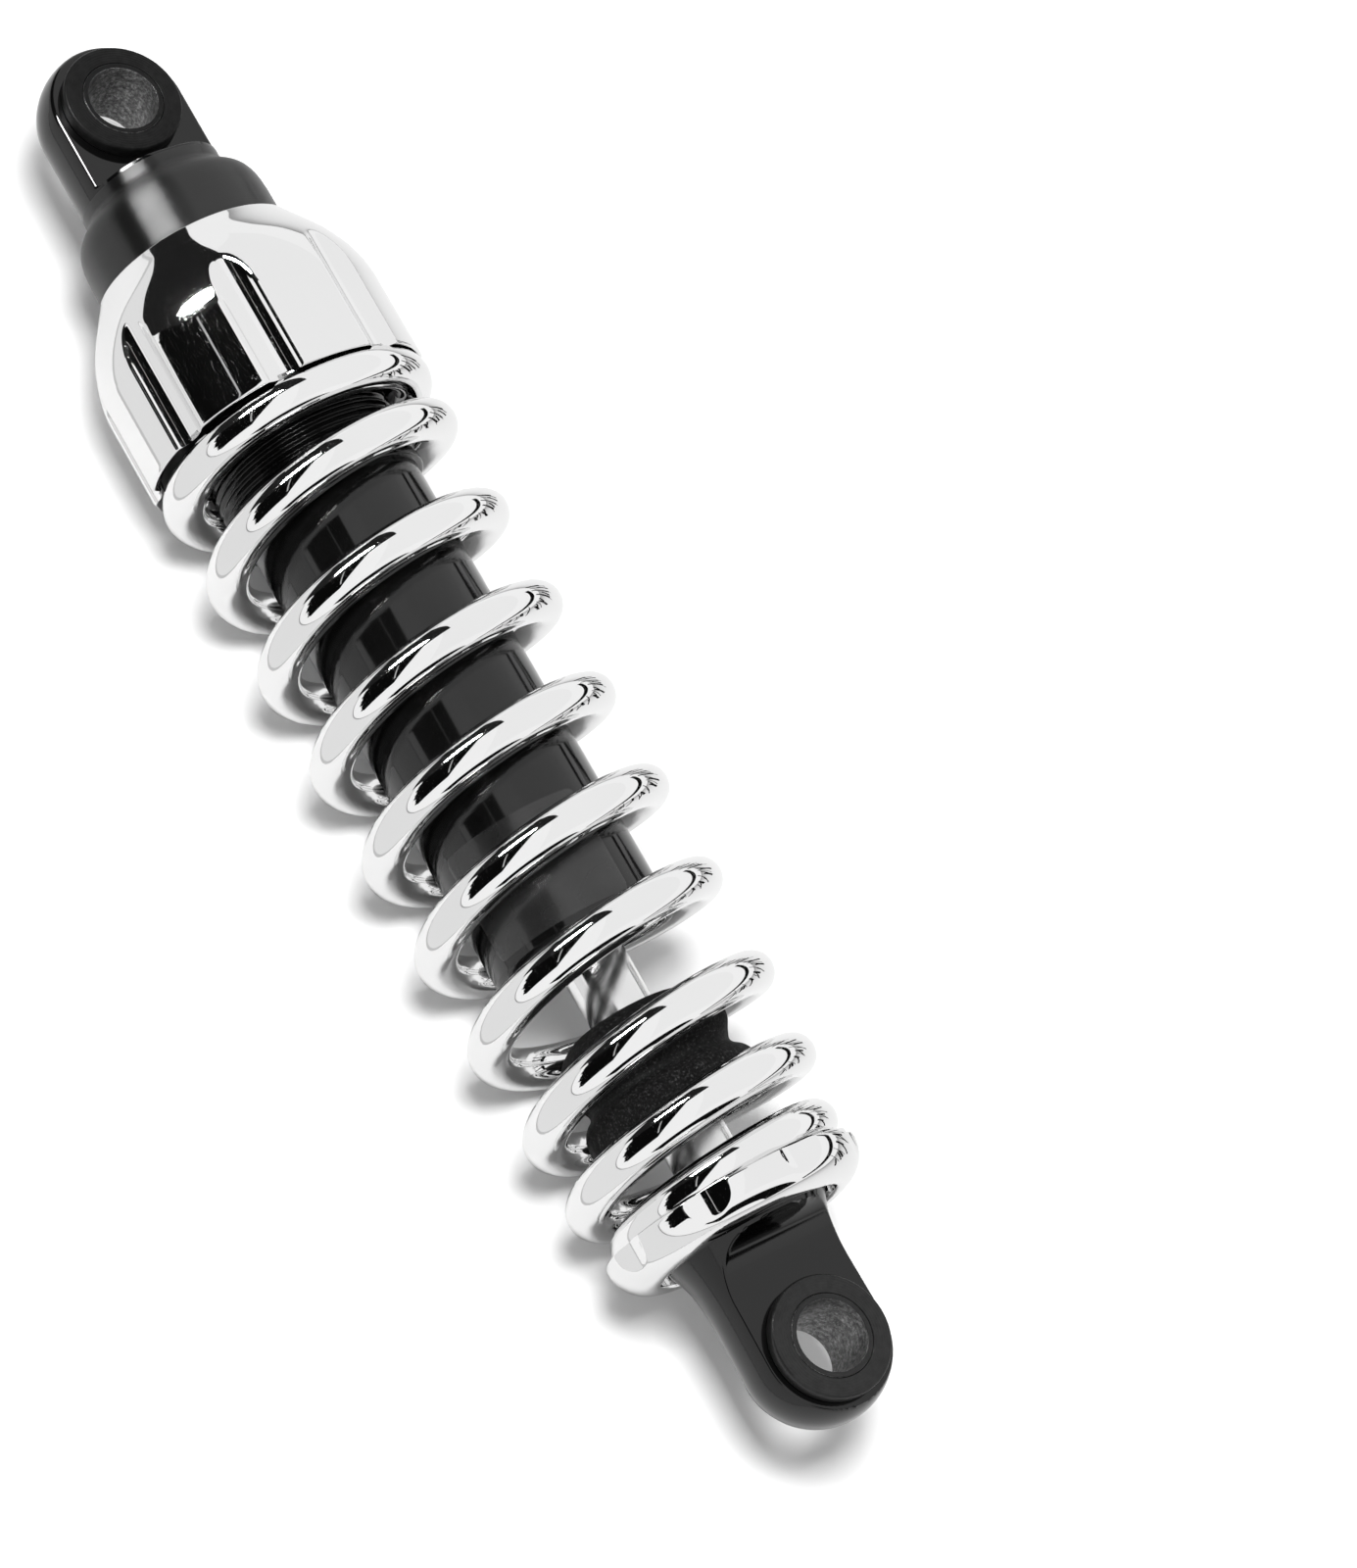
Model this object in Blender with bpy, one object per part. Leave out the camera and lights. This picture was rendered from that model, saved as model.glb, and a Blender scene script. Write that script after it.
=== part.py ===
"""Rear coil-over shock absorber, eye to eye, lying on its side.

X runs along the damper from the upper eye to the lower eye, and both eye bores run along Z.
The upper eye's centre is the origin. Every number below is in millimetres or degrees.
"""

from math import cos, pi, radians, sin

import bmesh
import bpy
from mathutils import Matrix, Vector

for old in list(bpy.data.objects):
    bpy.data.objects.remove(old, do_unlink=True)

MM = 0.001

# Driving sizes
EYE_TO_EYE = 317.5  # 12.5 inches
EYE_BORE_R = 7.9375  # 5/8 inch bolt
SLEEVE_R = 9.2
BUSH_R = 11.9  # barrel of the bush inside the eyelet
BUSH_FLANGE_R = 13.6
BUSH_FACE_Z = 9.8  # half the length over the two flanges
FLAT_Z = 6.6  # half the eyelet's thickness between its flats
GAP = 0.1  # between pieces that touch
UPPER_R = 17.0  # upper eyelet bar and its ball end
UPPER_SHOULDER = 18.0  # where the upper flats stop
COLLAR_R = 22.6
COLLAR_END = 39.9
THREAD_R = 22.4
THREAD_PITCH = 2.0
THREAD_END = 103.3
CLIP_END = 105.8
TUBE_R = 20.7
TUBE_BORE_R = 18.2
TUBE_START = 46.0
TUBE_END = 218.5
ROD_R = 7.5
ROD_BORE_R = 7.6  # anything that the rod turns or slides in
CAP_R = 33.8
CAP_TOP = 39.6
CAP_END = 84.4
CAP_BORE_R = 22.49
FLUTES = 8
FLUTE_ANGLE = 110.3
WIRE_R = 4.75
PERCH_R = 29.8
PERCH_RIM = 281.0
SEAT_X = 285.2
NOTCH_ANGLE = 127.0
LOWER_R = 16.2
LOWER_BALL_R = 16.4
LOWER_FLAT_START = 300.0
SIDES = 24  # facets round each large piece
LABEL_SEGMENTS = range(5, 12)
PISTON_X = 171.2

# Spring centre line: turns from the right-hand side, distance along the damper, coil radius
SPRING_LINE = (
    (-0.12, 87.2, 28.9),
    (0.0, 87.3, 28.9),
    (0.25, 88.4, 28.9),
    (0.5, 90.5, 28.9),
    (0.75, 94.6, 28.9),
    (1.0, 99.8, 28.9),
    (1.5, 111.5, 28.9),
    (3.0, 147.5, 29.0),
    (5.0, 194.8, 29.0),
    (6.5, 229.9, 28.9),
    (7.0, 241.5, 28.5),
    (7.5, 252.2, 27.9),
    (8.0, 261.3, 27.3),
    (8.5, 269.4, 27.2),
    (9.0, 275.8, 24.2),
    (9.25, 278.7, 23.2),
    (9.5, 280.2, 22.6),
    (9.6, 280.3, 22.5),
)
SPRING_PHASE = 32.0
SPRING_STEPS_PER_TURN = 17
SPRING_SIDES = 8


def material(name, colour, metallic, roughness, coat=0.0):
    made = bpy.data.materials.new(name)
    made.use_nodes = True
    shader = made.node_tree.nodes["Principled BSDF"]
    shader.inputs["Base Color"].default_value = (*colour, 1.0)
    shader.inputs["Metallic"].default_value = metallic
    shader.inputs["Roughness"].default_value = roughness
    shader.inputs["Coat Weight"].default_value = coat
    made.diffuse_color = (*colour, 1.0)
    made.metallic = metallic
    made.roughness = roughness
    return made


CHROME = material("chrome_plate", (0.83, 0.84, 0.85), 1.0, 0.06)
BLACK = material("black_gloss_anodise", (0.018, 0.018, 0.02), 0.4, 0.28, 0.6)
STEEL = material("ground_steel", (0.45, 0.46, 0.47), 1.0, 0.35)
RUBBER = material("black_rubber", (0.022, 0.022, 0.023), 0.0, 0.75)
BUSHING = material("black_bushing", (0.03, 0.03, 0.032), 0.1, 0.45)
SEAL = material("nitrile_seal", (0.015, 0.015, 0.016), 0.0, 0.6)
PTFE = material("dark_ptfe", (0.045, 0.045, 0.048), 0.0, 0.45)
ALLOY = material("plain_alloy", (0.62, 0.63, 0.65), 1.0, 0.4)
LABEL = material("dark_grey_label", (0.06, 0.06, 0.063), 0.0, 0.35, 0.3)


def add(name, mesh, mat, smooth_angle=32.0):
    """Links a mesh as an object, shades it smooth and keeps edges sharper than smooth_angle."""
    for poly in mesh.polygons:
        poly.use_smooth = True
    mesh.set_sharp_from_angle(angle=radians(smooth_angle))
    mesh.materials.append(mat)
    obj = bpy.data.objects.new(name, mesh)
    bpy.context.scene.collection.objects.link(obj)
    return obj


def to_mesh(name, verts, faces):
    mesh = bpy.data.meshes.new(name)
    mesh.from_pydata([Vector(v) * MM for v in verts], [], faces)
    work = bmesh.new()
    work.from_mesh(mesh)
    bmesh.ops.recalc_face_normals(work, faces=work.faces)
    work.to_mesh(mesh)
    work.free()
    return mesh


def turned(name, outline, mat, sides=SIDES, phase=0.0):
    """A round piece about the damper axis. outline is a closed ring of (x, radius)."""
    rings = []
    verts = []
    for x, r in outline:
        if r < 1e-6:
            rings.append([len(verts)] * sides)
            verts.append((x, 0.0, 0.0))
            continue
        rings.append(list(range(len(verts), len(verts) + sides)))
        for i in range(sides):
            a = phase + 2 * pi * i / sides
            verts.append((x, r * cos(a), r * sin(a)))
    faces = []
    for one, two in zip(rings, rings[1:] + rings[:1]):
        for i in range(sides):
            j = (i + 1) % sides
            quad = list(dict.fromkeys((one[i], one[j], two[j], two[i])))
            if len(quad) > 2:
                faces.append(quad)
    return add(name, to_mesh(name, verts, faces), mat)


def pipe(name, x0, x1, inner, outer, mat, sides=SIDES, chamfer=0.0):
    c = chamfer
    ring = [(x0, inner), (x0, outer - c), (x0 + c, outer), (x1 - c, outer), (x1, outer - c), (x1, inner)]
    if not c:
        ring = [(x0, inner), (x0, outer), (x1, outer), (x1, inner)]
    return turned(name, ring, mat, sides)


def eye_ring(name, centre, outline, mat, sides=SIDES):
    """A round piece about an eye's bore. outline is a closed ring of (z, radius)."""
    obj = turned(name, outline, mat, sides)
    obj.data.transform(Matrix.Rotation(radians(-90), 4, "Y"))
    obj.data.transform(Matrix.Translation((centre * MM, 0.0, 0.0)))
    obj.data.update()
    return obj


def slab(name, section, half_width):
    """A cutter: a closed ring of (x, z) points, extruded along Y to both sides."""
    n = len(section)
    verts = [(x, -half_width, z) for x, z in section]
    verts += [(x, half_width, z) for x, z in section]
    faces = [list(range(n)), list(range(2 * n - 1, n - 1, -1))]
    faces += [(i, (i + 1) % n, n + (i + 1) % n, n + i) for i in range(n)]
    return cutter(name, to_mesh(name, verts, faces))


def cutter(name, mesh):
    obj = bpy.data.objects.new(name, mesh)
    bpy.context.scene.collection.objects.link(obj)
    obj.hide_render = True
    obj.display_type = "WIRE"
    return obj


def ball_nosed_tool(x_nose, x_out, radius, out, angle, sides=14, steps=3):
    """Points and faces of a ball-nosed tool lying along X, its axis out from the damper axis."""
    a = radians(angle)
    centre = (out * cos(a), out * sin(a))
    stations = [(x_nose + radius * (1 - cos(pi / 2 * k / steps)), radius * sin(pi / 2 * k / steps))
                for k in range(1, steps + 1)]
    stations.append((x_out, radius))
    verts = [(x_nose, *centre)]
    for x, r in stations:
        for i in range(sides):
            b = a + 2 * pi * i / sides
            verts.append((x, centre[0] + r * cos(b), centre[1] + r * sin(b)))
    faces = [(0, 1 + i, 1 + (i + 1) % sides) for i in range(sides)]
    for k in range(len(stations) - 1):
        for i in range(sides):
            j = (i + 1) % sides
            b = 1 + k * sides
            faces.append((b + i, b + j, b + sides + j, b + sides + i))
    last = 1 + (len(stations) - 1) * sides
    faces.append(tuple(last + i for i in range(sides)))
    return verts, faces


def tool_ring(name, count, first_angle, x_nose, x_out, radius, out, sides=14):
    """One cutter mesh of count ball-nosed tools spaced evenly round the damper axis."""
    verts = []
    faces = []
    for k in range(count):
        some, some_faces = ball_nosed_tool(x_nose, x_out, radius, out, first_angle + 360 / count * k, sides)
        base = len(verts)
        verts += some
        faces += [tuple(base + i for i in face) for face in some_faces]
    return cutter(name, to_mesh(name, verts, faces))


def cut(obj, *tools):
    for tool in tools:
        step = obj.modifiers.new(tool.name, "BOOLEAN")
        step.operation = "DIFFERENCE"
        step.solver = "EXACT"
        step.object = tool


def bore_tool(name, centre, radius, length, sides=SIDES):
    obj = turned(name, [(-length, 0), (-length, radius), (length, radius), (length, 0)], STEEL, sides)
    obj.data.transform(Matrix.Rotation(radians(-90), 4, "Y"))
    obj.data.transform(Matrix.Translation((centre * MM, 0.0, 0.0)))
    obj.hide_render = True
    obj.display_type = "WIRE"
    return obj


def arc(cx, cr, rx, rr, start, end, steps):
    """Points (x, r) on an ellipse quarter, angles in degrees from the -X direction."""
    points = []
    for k in range(steps + 1):
        a = radians(start + (end - start) * k / steps)
        points.append((cx - rx * cos(a), cr + rr * sin(a)))
    return points


def upper_eye():
    """Head: ball-ended eyelet bar with two milled flats, collar and the spigot of the thread."""
    nose = [(-UPPER_R * cos(radians(a)), UPPER_R * sin(radians(a))) for a in range(0, 90, 10)]
    shape = nose + [
        (0.0, UPPER_R),
        (21.4, UPPER_R),
        (22.6, 18.0),
        (24.4, 20.0),
        (27.0, 21.7),
        (30.0, 22.4),
        (33.0, COLLAR_R),
        (COLLAR_END - 0.6, COLLAR_R),
        (COLLAR_END, COLLAR_R - 0.6),
        (COLLAR_END, 21.0),
        (TUBE_START - GAP, 21.0),
        (TUBE_START - GAP, TUBE_BORE_R - GAP),
        (54.0, TUBE_BORE_R - GAP),
        (54.0, 0.0),
    ]
    head = turned("body_head", shape, BLACK)
    flats = []
    for sign, tag in ((1, "top"), (-1, "bottom")):
        section = [(-30, FLAT_Z * sign), (UPPER_SHOULDER, FLAT_Z * sign), (UPPER_SHOULDER, 30 * sign), (-30, 30 * sign)]
        flats.append(slab(f"cut_upper_flat_{tag}", section, 30))
    valve_port = axial_drill("cut_valve_port", 41, 55, 3.2)
    cut(head, *flats, bore_tool("cut_upper_bore", 0.0, BUSH_R + GAP, 20), valve_port)


def lower_eye():
    """Lower eyelet: hub, flared neck, ball-ended bar, and flats that run out in a curve."""
    ball = [
        (EYE_TO_EYE + LOWER_BALL_R * sin(radians(a)), LOWER_BALL_R * cos(radians(a)))
        for a in range(10, 91, 10)
    ]
    ball[-1] = (EYE_TO_EYE + LOWER_BALL_R, 0.0)
    shape = [
        (297.0, 0.0),
        (297.0, 6.2),
        (285.0, 6.2),
        (285.0, 16.4),
        (285.4, 16.8),
        (287.7, 16.8),
        (287.7, 19.4),
        (289.5, 18.7),
        (292.0, 17.6),
        (295.0, 16.7),
        (299.0, LOWER_R + 0.05),
        (303.0, LOWER_R),
        (EYE_TO_EYE, LOWER_BALL_R),
    ] + ball
    eyelet = turned("lower_eyelet", shape, BLACK)
    flats = []
    for sign, tag in ((1, "top"), (-1, "bottom")):
        sweep = 9.0
        section = [(340, FLAT_Z), (LOWER_FLAT_START, FLAT_Z)]
        for k in range(1, 9):
            a = radians(75 * k / 8)
            section.append((LOWER_FLAT_START - sweep * sin(a), FLAT_Z + sweep * (1 - cos(a))))
        section += [(section[-1][0] - 1.2, 30), (340, 30)]
        flats.append(slab(f"cut_lower_flat_{tag}", [(x, z * sign) for x, z in section], 30))
    cut(eyelet, *flats, bore_tool("cut_lower_bore", EYE_TO_EYE, BUSH_R + GAP, 20))


def eye_fittings(side, centre):
    """Two flanged bush halves and the steel sleeve that the bolt goes through."""
    c = 0.5
    sleeve = [
        (-BUSH_FACE_Z, EYE_BORE_R + 0.3),
        (-BUSH_FACE_Z, SLEEVE_R - 0.2),
        (-BUSH_FACE_Z + 0.2, SLEEVE_R),
        (BUSH_FACE_Z - 0.2, SLEEVE_R),
        (BUSH_FACE_Z, SLEEVE_R - 0.2),
        (BUSH_FACE_Z, EYE_BORE_R + 0.3),
        (BUSH_FACE_Z - 0.3, EYE_BORE_R),
        (-BUSH_FACE_Z + 0.3, EYE_BORE_R),
    ]
    eye_ring(f"{side}_sleeve", centre, sleeve, STEEL)
    for sign, tag in ((1, "front"), (-1, "back")):
        half = [
            (0.15, SLEEVE_R + GAP),
            (0.15, BUSH_R),
            (FLAT_Z + 0.05, BUSH_R),
            (FLAT_Z + 0.05, BUSH_FLANGE_R),
            (BUSH_FACE_Z - c, BUSH_FLANGE_R),
            (BUSH_FACE_Z - 0.05, BUSH_FLANGE_R - c),
            (BUSH_FACE_Z - 0.05, SLEEVE_R + GAP),
        ]
        eye_ring(f"{side}_bush_{tag}", centre, [(z * sign, r) for z, r in half], BUSHING)


def thread_sleeve():
    """Threaded sleeve on the body, its thread drawn as rings over the part that stays in view."""
    inner = TUBE_R + GAP
    shape = [(COLLAR_END + GAP, 21.2), (COLLAR_END + GAP, THREAD_R)]
    x = 88.0
    while x < THREAD_END - 1.5 * THREAD_PITCH:
        shape += [(x, THREAD_R), (x + 0.5 * THREAD_PITCH, THREAD_R - 0.95)]
        x += THREAD_PITCH
    shape += [(x, THREAD_R), (THREAD_END, THREAD_R), (THREAD_END, inner), (TUBE_START + 0.1, inner)]
    shape += [(TUBE_START + 0.1, 21.2)]
    turned("threaded_sleeve", shape, BLACK)


def body_tube():
    inner = TUBE_BORE_R
    shape = [
        (TUBE_START, inner),
        (TUBE_START, TUBE_R),
        (TUBE_END - 1.2, TUBE_R),
        (TUBE_END - 0.3, TUBE_R - 0.5),
        (TUBE_END, TUBE_R - 1.3),
        (TUBE_END, inner),
        (TUBE_END - 2.2, inner),
        (TUBE_END - 2.2, inner + 0.9),
        (TUBE_END - 3.8, inner + 0.9),
        (TUBE_END - 3.8, inner),
    ]
    turned("body_tube", shape, BLACK)


def body_label():
    """A blank curved plate with rounded corners on the lower part of the tube."""
    inner = TUBE_R + 0.03
    outer = inner + 0.22
    rows = ((190.0, 1), (191.2, 0), (214.3, 0), (215.5, 1))
    verts = []
    faces = []
    first, last = LABEL_SEGMENTS[0], LABEL_SEGMENTS[-1] + 1
    columns = list(range(first, last + 1))
    inset = {first: 1.0, last: -1.0}
    for x, short in rows:
        for i in columns:
            a = 2 * pi * i / SIDES
            if short and i in inset:
                a += inset[i] * 0.35 * 2 * pi / SIDES
            turn = (a * SIDES / 2 / pi) % 1 - 0.5
            reach = inner * cos(pi / SIDES) / cos(turn * 2 * pi / SIDES)
            for r in (reach, reach + outer - inner):
                verts.append((x, r * cos(a), r * sin(a)))
    width = len(columns) * 2
    for k in range(len(rows) - 1):
        for i in range(len(columns) - 1):
            b = k * width + 2 * i
            faces.append((b, b + 2, b + width + 2, b + width))
            faces.append((b + 1, b + width + 1, b + width + 3, b + 3))
        for b in (k * width, k * width + width - 2):
            faces.append((b, b + width, b + width + 1, b + 1))
    for k in (0, len(rows) - 1):
        for i in range(len(columns) - 1):
            b = k * width + 2 * i
            faces.append((b, b + 1, b + 3, b + 2))
    add("body_label", to_mesh("body_label", verts, faces), LABEL)


def adjuster():
    """Preload adjuster: domed cap, flutes, a bore that turns on the thread, and a spring recess."""
    shape = [
        (CAP_TOP, CAP_BORE_R),
        (CAP_TOP, 23.0),
        (42.3, 25.2),
        (44.4, 26.6),
        (47.0, 28.4),
        (52.3, 31.3),
        (58.0, 33.2),
        (62.0, CAP_R),
        (CAP_END - 0.4, CAP_R),
        (CAP_END, CAP_R - 0.4),
        (83.3, 32.25),
        (82.3, 30.8),
        (81.0, 30.8),
        (81.0, 24.6),
        (60.0, 24.6),
        (60.0, CAP_BORE_R),
    ]
    cap = turned("preload_adjuster", shape, CHROME, 40)
    rho = 5.6
    out = CAP_R + rho - 2.3
    cut(cap, tool_ring("cut_flutes", FLUTES, FLUTE_ANGLE, 47.5, 90.0, rho, out))
    seat = [(81.1, 24.3), (81.1, 30.5), (82.3, 30.5), (82.3, 23.1), (81.8, 22.9), (78.0, 22.9), (78.0, 24.3)]
    turned("spring_seat_ring", seat, PTFE)


def perch():
    shape = [
        (SEAT_X, 27.55),
        (PERCH_RIM, 27.55),
        (PERCH_RIM, PERCH_R - 0.4),
        (PERCH_RIM + 0.4, PERCH_R),
    ] + arc(282.2, 22.3, -8.0, PERCH_R - 22.3, 90, 0, 6) + [
        (290.1, 21.6),
        (289.5, 21.2),
        (287.5, 21.2),
        (287.5, 17.0),
        (SEAT_X, 17.0),
    ]
    cup = turned("lower_perch", shape, CHROME, 40)
    rho = 14.0
    out = PERCH_R + rho - 1.5
    cut(cup, tool_ring("cut_notches", FLUTES, NOTCH_ANGLE, PERCH_RIM - 3 - rho, 295.0, rho, out, 40))


def smooth_between(table, t, column):
    """Monotone cubic through the table's rows, read at t."""
    n = len(table)
    k = max(i for i in range(n - 1) if table[i][0] <= t + 1e-9)
    h = [table[i + 1][0] - table[i][0] for i in range(n - 1)]
    d = [(table[i + 1][column] - table[i][column]) / h[i] for i in range(n - 1)]

    def slope(i):
        if i in (0, n - 1):
            return d[0] if i == 0 else d[-1]
        if d[i - 1] * d[i] <= 0:
            return 0.0
        w1 = 2 * h[i] + h[i - 1]
        w2 = h[i] + 2 * h[i - 1]
        return (w1 + w2) / (w1 / d[i - 1] + w2 / d[i])

    u = (t - table[k][0]) / h[k]
    a, b = table[k][column], table[k + 1][column]
    m0, m1 = slope(k) * h[k], slope(k + 1) * h[k]
    return (2 * u**3 - 3 * u**2 + 1) * a + (u**3 - 2 * u**2 + u) * m0 + (3 * u**2 - 2 * u**3) * b + (u**3 - u**2) * m1


def spring():
    start, end = SPRING_LINE[0][0], SPRING_LINE[-1][0]
    count = round((end - start) * SPRING_STEPS_PER_TURN)
    line = []
    for k in range(count + 1):
        t = start + (end - start) * k / count
        x = smooth_between(SPRING_LINE, t, 1)
        r = smooth_between(SPRING_LINE, t, 2)
        a = radians(SPRING_PHASE) + 2 * pi * t
        line.append(Vector((x, r * cos(a), r * sin(a))))
    verts = []
    for k, point in enumerate(line):
        along = (line[min(k + 1, count)] - line[max(k - 1, 0)]).normalized()
        out = Vector((0.0, point.y, point.z)).normalized()
        side = along.cross(out).normalized()
        out = side.cross(along).normalized()
        for i in range(SPRING_SIDES):
            a = 2 * pi * i / SPRING_SIDES
            verts.append(point + WIRE_R * (cos(a) * out + sin(a) * side))
    faces = [tuple(range(SPRING_SIDES)), tuple(len(verts) - 1 - i for i in range(SPRING_SIDES))]
    for k in range(count):
        for i in range(SPRING_SIDES):
            j = (i + 1) % SPRING_SIDES
            b = k * SPRING_SIDES
            faces.append((b + i, b + j, b + SPRING_SIDES + j, b + SPRING_SIDES + i))
    add("coil_spring", to_mesh("coil_spring", verts, faces), CHROME, 60)


def rod_end_parts():
    """Seal head with its seals, held in the tube by a circlip."""
    r = TUBE_BORE_R - GAP
    guide = [
        (198.5, ROD_BORE_R),
        (198.5, r),
        (202.5, r),
        (202.5, r - 1.6),
        (204.9, r - 1.6),
        (204.9, r),
        (TUBE_END - 4.0, r),
        (TUBE_END - 4.0, 12.4),
        (206.5, 12.4),
        (206.5, ROD_BORE_R),
    ]
    turned("rod_guide", guide, ALLOY)
    pipe("guide_o_ring", 202.6, 204.8, r - 1.5, r - 0.02, SEAL)
    pipe("rod_seal", 206.7, 210.2, ROD_BORE_R, 12.3, SEAL, SIDES, 0.3)
    pipe("rod_wiper", 210.5, 216.0, ROD_BORE_R, 12.3, SEAL, SIDES, 0.6)
    pipe("guide_circlip", TUBE_END - 3.7, TUBE_END - 2.4, 14.6, TUBE_BORE_R + 0.8, STEEL)


def rod_assembly():
    x = PISTON_X
    rod = [
        (x - 8.4, 0.0),
        (x - 8.4, 5.0),
        (x + 16.6, 5.0),
        (x + 16.6, ROD_R),
        (284.7, ROD_R),
        (284.7, 6.1),
        (296.5, 6.1),
        (296.5, 0.0),
    ]
    turned("piston_rod", rod, CHROME)
    hex_nut("piston_nut", x - 7.4, x - 2.4, 5.1, 8.6)
    pipe("rebound_shims", x - 2.3, x - 0.1, 5.1, 12.5, STEEL, 20)
    b = TUBE_BORE_R - 0.25
    shape = [
        (x, 5.1),
        (x, b),
        (x + 2.2, b),
        (x + 2.2, b - 1.2),
        (x + 9.4, b - 1.2),
        (x + 9.4, b),
        (x + 11.6, b),
        (x + 11.6, 5.1),
    ]
    piston = turned("piston", shape, ALLOY)
    cut(piston, drill_ring("cut_piston_ports", 6, 2.1, 9.2, x - 2, x + 14))
    pipe("piston_band", x + 2.4, x + 9.2, b - 1.12, TUBE_BORE_R - 0.06, PTFE)
    pipe("compression_shims", x + 11.7, x + 13.9, 5.1, 13.5, STEEL, 20)
    pipe("shim_washer", x + 14.0, x + 16.5, 5.1, 9.0, STEEL, 20)
    pipe("top_out_bumper", x + 16.7, 198.3, ROD_R + 0.05, 12.5, RUBBER, SIDES, 1.0)


def drill_ring(name, count, radius, out, x0, x1, sides=10):
    """One cutter mesh of count straight holes along X, spaced evenly round the damper axis."""
    verts = []
    faces = []
    for k in range(count):
        a = 2 * pi * k / count
        base = len(verts)
        for x in (x0, x1):
            for i in range(sides):
                t = 2 * pi * i / sides
                verts.append((x, out * cos(a) + radius * cos(t), out * sin(a) + radius * sin(t)))
        ends = [base + i for i in range(sides)]
        faces += [tuple(ends), tuple(i + sides for i in reversed(ends))]
        for i in range(sides):
            j = (i + 1) % sides
            faces.append((base + i, base + j, base + sides + j, base + sides + i))
    return cutter(name, to_mesh(name, verts, faces))


def gas_end():
    """Floating piston that keeps the oil from the gas, with its seal, and the charging valve."""
    b = TUBE_BORE_R - 0.25
    shape = [
        (92.0, 0.0),
        (92.0, b),
        (96.2, b),
        (96.2, b - 1.9),
        (99.8, b - 1.9),
        (99.8, b),
        (104.0, b),
        (104.0, 12.0),
        (97.0, 12.0),
        (97.0, 0.0),
    ]
    turned("gas_piston", shape, ALLOY)
    pipe("gas_piston_seal", 96.4, 99.6, b - 1.8, TUBE_BORE_R - 0.06, SEAL, SIDES, 0.4)
    turned("gas_valve", [(44.0, 0), (44.0, 3.1), (54.2, 3.1), (54.2, 6.0), (57.5, 6.0), (57.5, 0)], STEEL)


def hex_nut(name, x0, x1, bore, corner_r):
    nut = turned(name, [(x0, 0), (x0, corner_r), (x1, corner_r), (x1, 0)], STEEL, 6)
    cut(nut, axial_drill(f"cut_{name}", x0 - 2, x1 + 2, bore))


def axial_drill(name, x0, x1, radius):
    drill = turned(name, [(x0, 0), (x0, radius), (x1, radius), (x1, 0)], STEEL)
    drill.hide_render = True
    drill.display_type = "WIRE"
    return drill


def bump_stop():
    shape = [
        (236.3, ROD_BORE_R),
        (236.3, 11.5),
        (237.0, 14.0),
        (239.3, 17.0),
        (243.0, 19.2),
        (246.5, 19.2),
        (249.0, 18.0),
        (251.0, 17.1),
        (252.5, 17.6),
        (254.0, 19.3),
        (256.0, 20.3),
        (259.5, 20.4),
        (261.0, 19.8),
        (261.5, 19.2),
        (261.5, ROD_BORE_R),
    ]
    turned("bump_stop", shape, RUBBER)


def joint_markers():
    """Empties on each joint's axis, with the pieces that move on it as children."""
    groups = {
        "damper_stroke_axis": (180.0, ("piston_band",)),
        "rod_swivel_axis": (
            250.0,
            (
                "piston_rod",
                "piston",
                "piston_nut",
                "rebound_shims",
                "compression_shims",
                "shim_washer",
                "top_out_bumper",
                "lower_perch",
                "lower_eyelet",
                "lower_sleeve",
                "lower_bush_front",
                "lower_bush_back",
                "rod_lock_nut",
            ),
        ),
        "bump_stop_axis": (248.0, ("bump_stop",)),
        "adjuster_turn_axis": (60.0, ("preload_adjuster",)),
        "preload_travel_axis": (80.0, ("spring_seat_ring",)),
        "gas_piston_axis": (98.0, ("gas_piston", "gas_piston_seal")),
    }
    for name, (x, children) in groups.items():
        empty = bpy.data.objects.new(name, None)
        empty.empty_display_size = 0.01
        empty.location = (x * MM, 0.0, 0.0)
        bpy.context.scene.collection.objects.link(empty)
        bpy.context.view_layer.update()
        for child in children:
            piece = bpy.data.objects[child]
            piece.parent = empty
            piece.matrix_parent_inverse = empty.matrix_world.inverted()


upper_eye()
lower_eye()
eye_fittings("upper", 0.0)
eye_fittings("lower", EYE_TO_EYE)
thread_sleeve()
pipe("sleeve_clip", THREAD_END + 0.2, CLIP_END, TUBE_R + GAP, 22.2, BLACK, SIDES, 0.5)
body_tube()
body_label()
adjuster()
perch()
spring()
rod_end_parts()
rod_assembly()
hex_nut("rod_lock_nut", 279.6, 284.9, ROD_R + 0.1, 12.8)
gas_end()
bump_stop()
joint_markers()
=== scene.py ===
from math import cos, pi, radians, sin, sqrt, tau

import bmesh
import bpy
from mathutils import Matrix, Vector


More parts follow.
